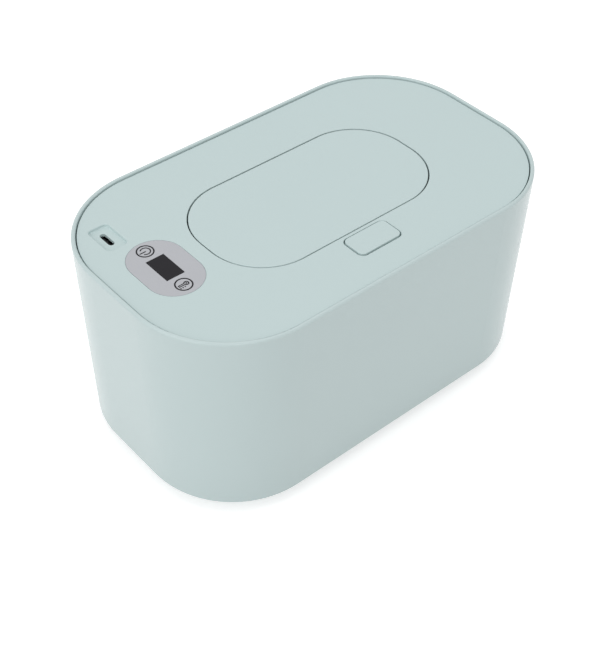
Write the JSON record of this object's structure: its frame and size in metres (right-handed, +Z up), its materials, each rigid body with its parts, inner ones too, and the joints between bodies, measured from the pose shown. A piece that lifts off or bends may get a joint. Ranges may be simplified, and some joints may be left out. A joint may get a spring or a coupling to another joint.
{
  "type": "baby wipe warmer",
  "caption": "Table-top baby wipe warmer: insulated tub with a lift-off heated lid, flip-up dispensing lid with push-button latch, touch display and power inlet.",
  "frame": {"origin": "on the table, under the middle of the case", "axes": "+X along the case away from the controls, +Y towards the hinge of the flip lid, +Z up"},
  "size_m": [0.2, 0.12, 0.1],
  "materials": {
    "shell_plastic": "satin moulded",
    "lid_plastic": "satin moulded",
    "tub_plastic": "satin moulded",
    "base_plastic": "satin moulded",
    "foam": "closed-cell foam",
    "felt": "heat-proof felt",
    "foot_rubber": "matt",
    "silicone": "translucent matt",
    "screw_steel": "plated",
    "spring_steel": "bright drawn",
    "plate_aluminium": "coated",
    "film": "film",
    "board_green": "lacquered",
    "chip_black": "matt",
    "plug_white": "matt",
    "wire_red": "smooth",
    "wire_white": "smooth",
    "display_dark": "matt",
    "window_smoke": "polished",
    "overlay_grey": "satin film",
    "socket_steel": "plated",
    "tongue_black": "matt"
  },
  "bodies": {
    "case": {"outer_shell": "shell_plastic", "rubber_feet": "foot_rubber", "inner_tub": "tub_plastic", "insulation_sleeve": "foam", "insulation_pad": "foam", "tub_screws": "screw_steel"},
    "lid": {"top_panel": "lid_plastic", "lid_base": "base_plastic", "lid_seal": "silicone", "lid_screws": "screw_steel", "heat_plate": "plate_aluminium", "heating_film": "film", "heater_felt": "felt", "plate_screws": "screw_steel", "thermal_fuse": "socket_steel", "temperature_sensor": "chip_black", "heater_leads": "wire_red", "sensor_leads": "wire_white", "wire_plugs": "plug_white", "dispenser_flap": "silicone", "dispenser_ring": "lid_plastic", "control_board": "board_green", "board_screws": "screw_steel", "controller_chip": "chip_black", "power_inductor": "chip_black", "display_module": "display_dark", "display_window": "window_smoke", "control_overlay": "overlay_grey", "key_springs": "spring_steel", "usb_shell": "socket_steel", "usb_tongue": "tongue_black", "hinge_pins": "spring_steel", "torsion_springs": "spring_steel", "latch_spring": "spring_steel"},
    "flip_lid": {"flip_cover": "lid_plastic", "flip_liner": "base_plastic", "flip_seal": "silicone"},
    "button": {"push_button": "lid_plastic"},
    "latch": {"latch_slider": "base_plastic"}
  },
  "joints": [
    {"name": "lid_lift", "type": "slide", "parent": "case", "child": "lid", "axis": [0, 0, 1], "range_m": [0, 0.1]},
    {"name": "flip_hinge", "type": "hinge", "parent": "lid", "child": "flip_lid", "pos_m": [0, 0.0346, 0.0948], "axis": [-1, 0, 0], "range_deg": [0, 95]},
    {"name": "button_press", "type": "slide", "parent": "lid", "child": "button", "axis": [0, 0, -1], "range_m": [0, 0.002], "stiffness_N_per_m": 600, "springref_m": -0.002},
    {"name": "latch_slide", "type": "slide", "parent": "lid", "child": "latch", "axis": [0, -1, 0], "range_m": [0, 0.002], "deforming": ["latch_spring"]}
  ],
  "couplings": [
    {"joint": "latch_slide", "follows": "button_press", "ratio": 1}
  ]
}
